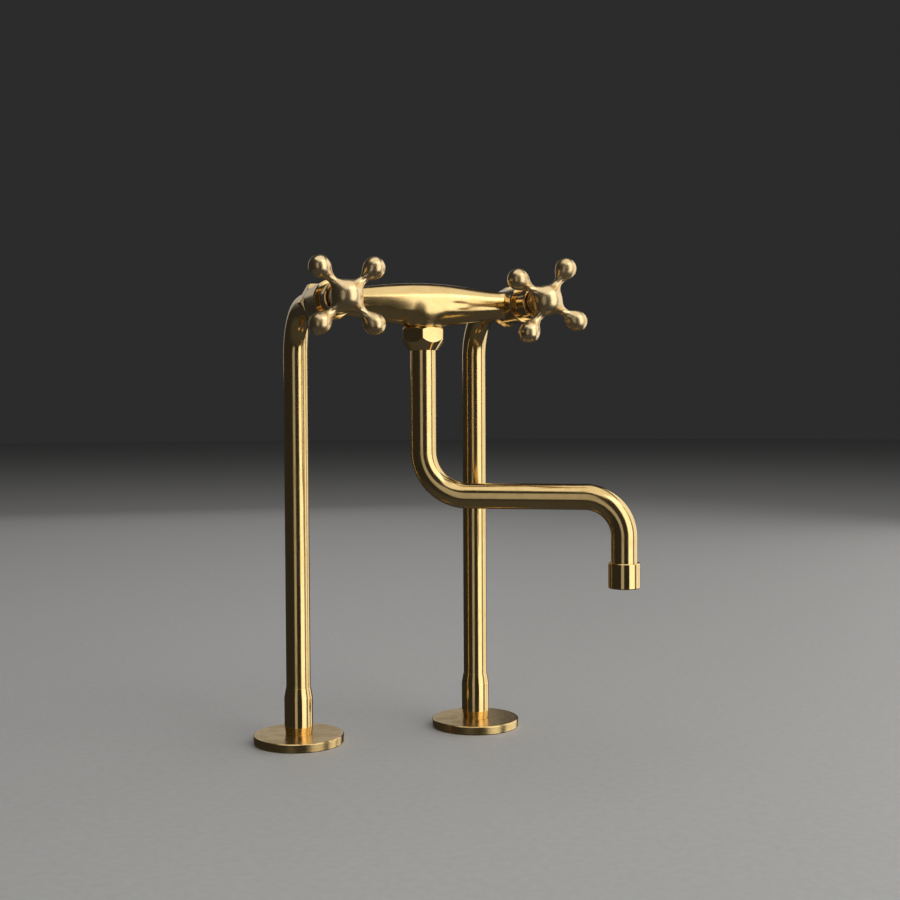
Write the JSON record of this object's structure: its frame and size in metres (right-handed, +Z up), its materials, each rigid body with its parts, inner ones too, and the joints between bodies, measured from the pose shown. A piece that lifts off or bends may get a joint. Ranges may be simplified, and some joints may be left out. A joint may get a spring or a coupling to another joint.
{
  "type": "mixer faucet",
  "caption": "Deck-mounted bridge mixer on tall bent risers, with cross handles and an S-shaped swing spout that ends in an aerator.",
  "frame": {"origin": "on the deck, midway between the two shanks", "axes": "+Z up; -Y towards the user, so that the valves point along -Y; +X to the user's right"},
  "size_m": [0.2475, 0.2109, 0.429],
  "materials": {
    "polished_brass": "polished",
    "satin_brass": "brushed satin",
    "plain_brass": "turned, unpolished",
    "stainless": "bright",
    "rubber": "matt",
    "ceramic": "lapped ceramic",
    "plastic": "moulded"
  },
  "bodies": {
    "stand": {"left_flange": "polished_brass", "left_gasket": "rubber", "left_shank": "polished_brass", "left_base_sleeve": "polished_brass", "left_olive": "plain_brass", "left_riser": "polished_brass", "left_riser_collar": "plain_brass", "left_union_washer": "rubber", "left_union_nut": "polished_brass", "left_housing": "polished_brass", "left_seat_seal": "rubber", "left_fixed_disc": "ceramic", "left_headwork": "plain_brass", "left_bonnet": "polished_brass", "right_flange": "polished_brass", "right_gasket": "rubber", "right_shank": "polished_brass", "right_base_sleeve": "polished_brass", "right_olive": "plain_brass", "right_riser": "polished_brass", "right_riser_collar": "plain_brass", "right_union_washer": "rubber", "right_union_nut": "polished_brass", "right_housing": "polished_brass", "right_seat_seal": "rubber", "right_fixed_disc": "ceramic", "right_headwork": "plain_brass", "right_bonnet": "polished_brass", "bridge_body": "polished_brass", "swivel_nut": "polished_brass", "glide_ring": "plastic"},
    "left_handle": {"left_moving_disc": "ceramic", "left_spindle": "plain_brass", "left_spindle_oring": "rubber", "left_spindle_clip": "stainless", "left_handle": "satin_brass", "left_handle_screw": "stainless"},
    "right_handle": {"right_moving_disc": "ceramic", "right_spindle": "plain_brass", "right_spindle_oring": "rubber", "right_spindle_clip": "stainless", "right_handle": "satin_brass", "right_handle_screw": "stainless"},
    "spout": {"spout_collar": "plain_brass", "spout_spigot": "plain_brass", "spout_orings": "rubber", "spout_tube": "polished_brass", "aerator_housing": "polished_brass", "aerator_washer": "rubber", "aerator_insert": "plastic"}
  },
  "joints": [
    {"name": "left_handle_turn", "type": "hinge", "parent": "stand", "child": "left_handle", "pos_m": [-0.075, -0.1255, 0.34], "axis": [0, -1, 0], "range_deg": [0, 90]},
    {"name": "right_handle_turn", "type": "hinge", "parent": "stand", "child": "right_handle", "pos_m": [0.075, -0.1255, 0.34], "axis": [0, -1, 0], "range_deg": [-90, 0]},
    {"name": "spout_swing", "type": "hinge", "parent": "stand", "child": "spout", "pos_m": [0, -0.0855, 0.31], "axis": [0, 0, 1], "range_deg": [-181, 65]}
  ]
}
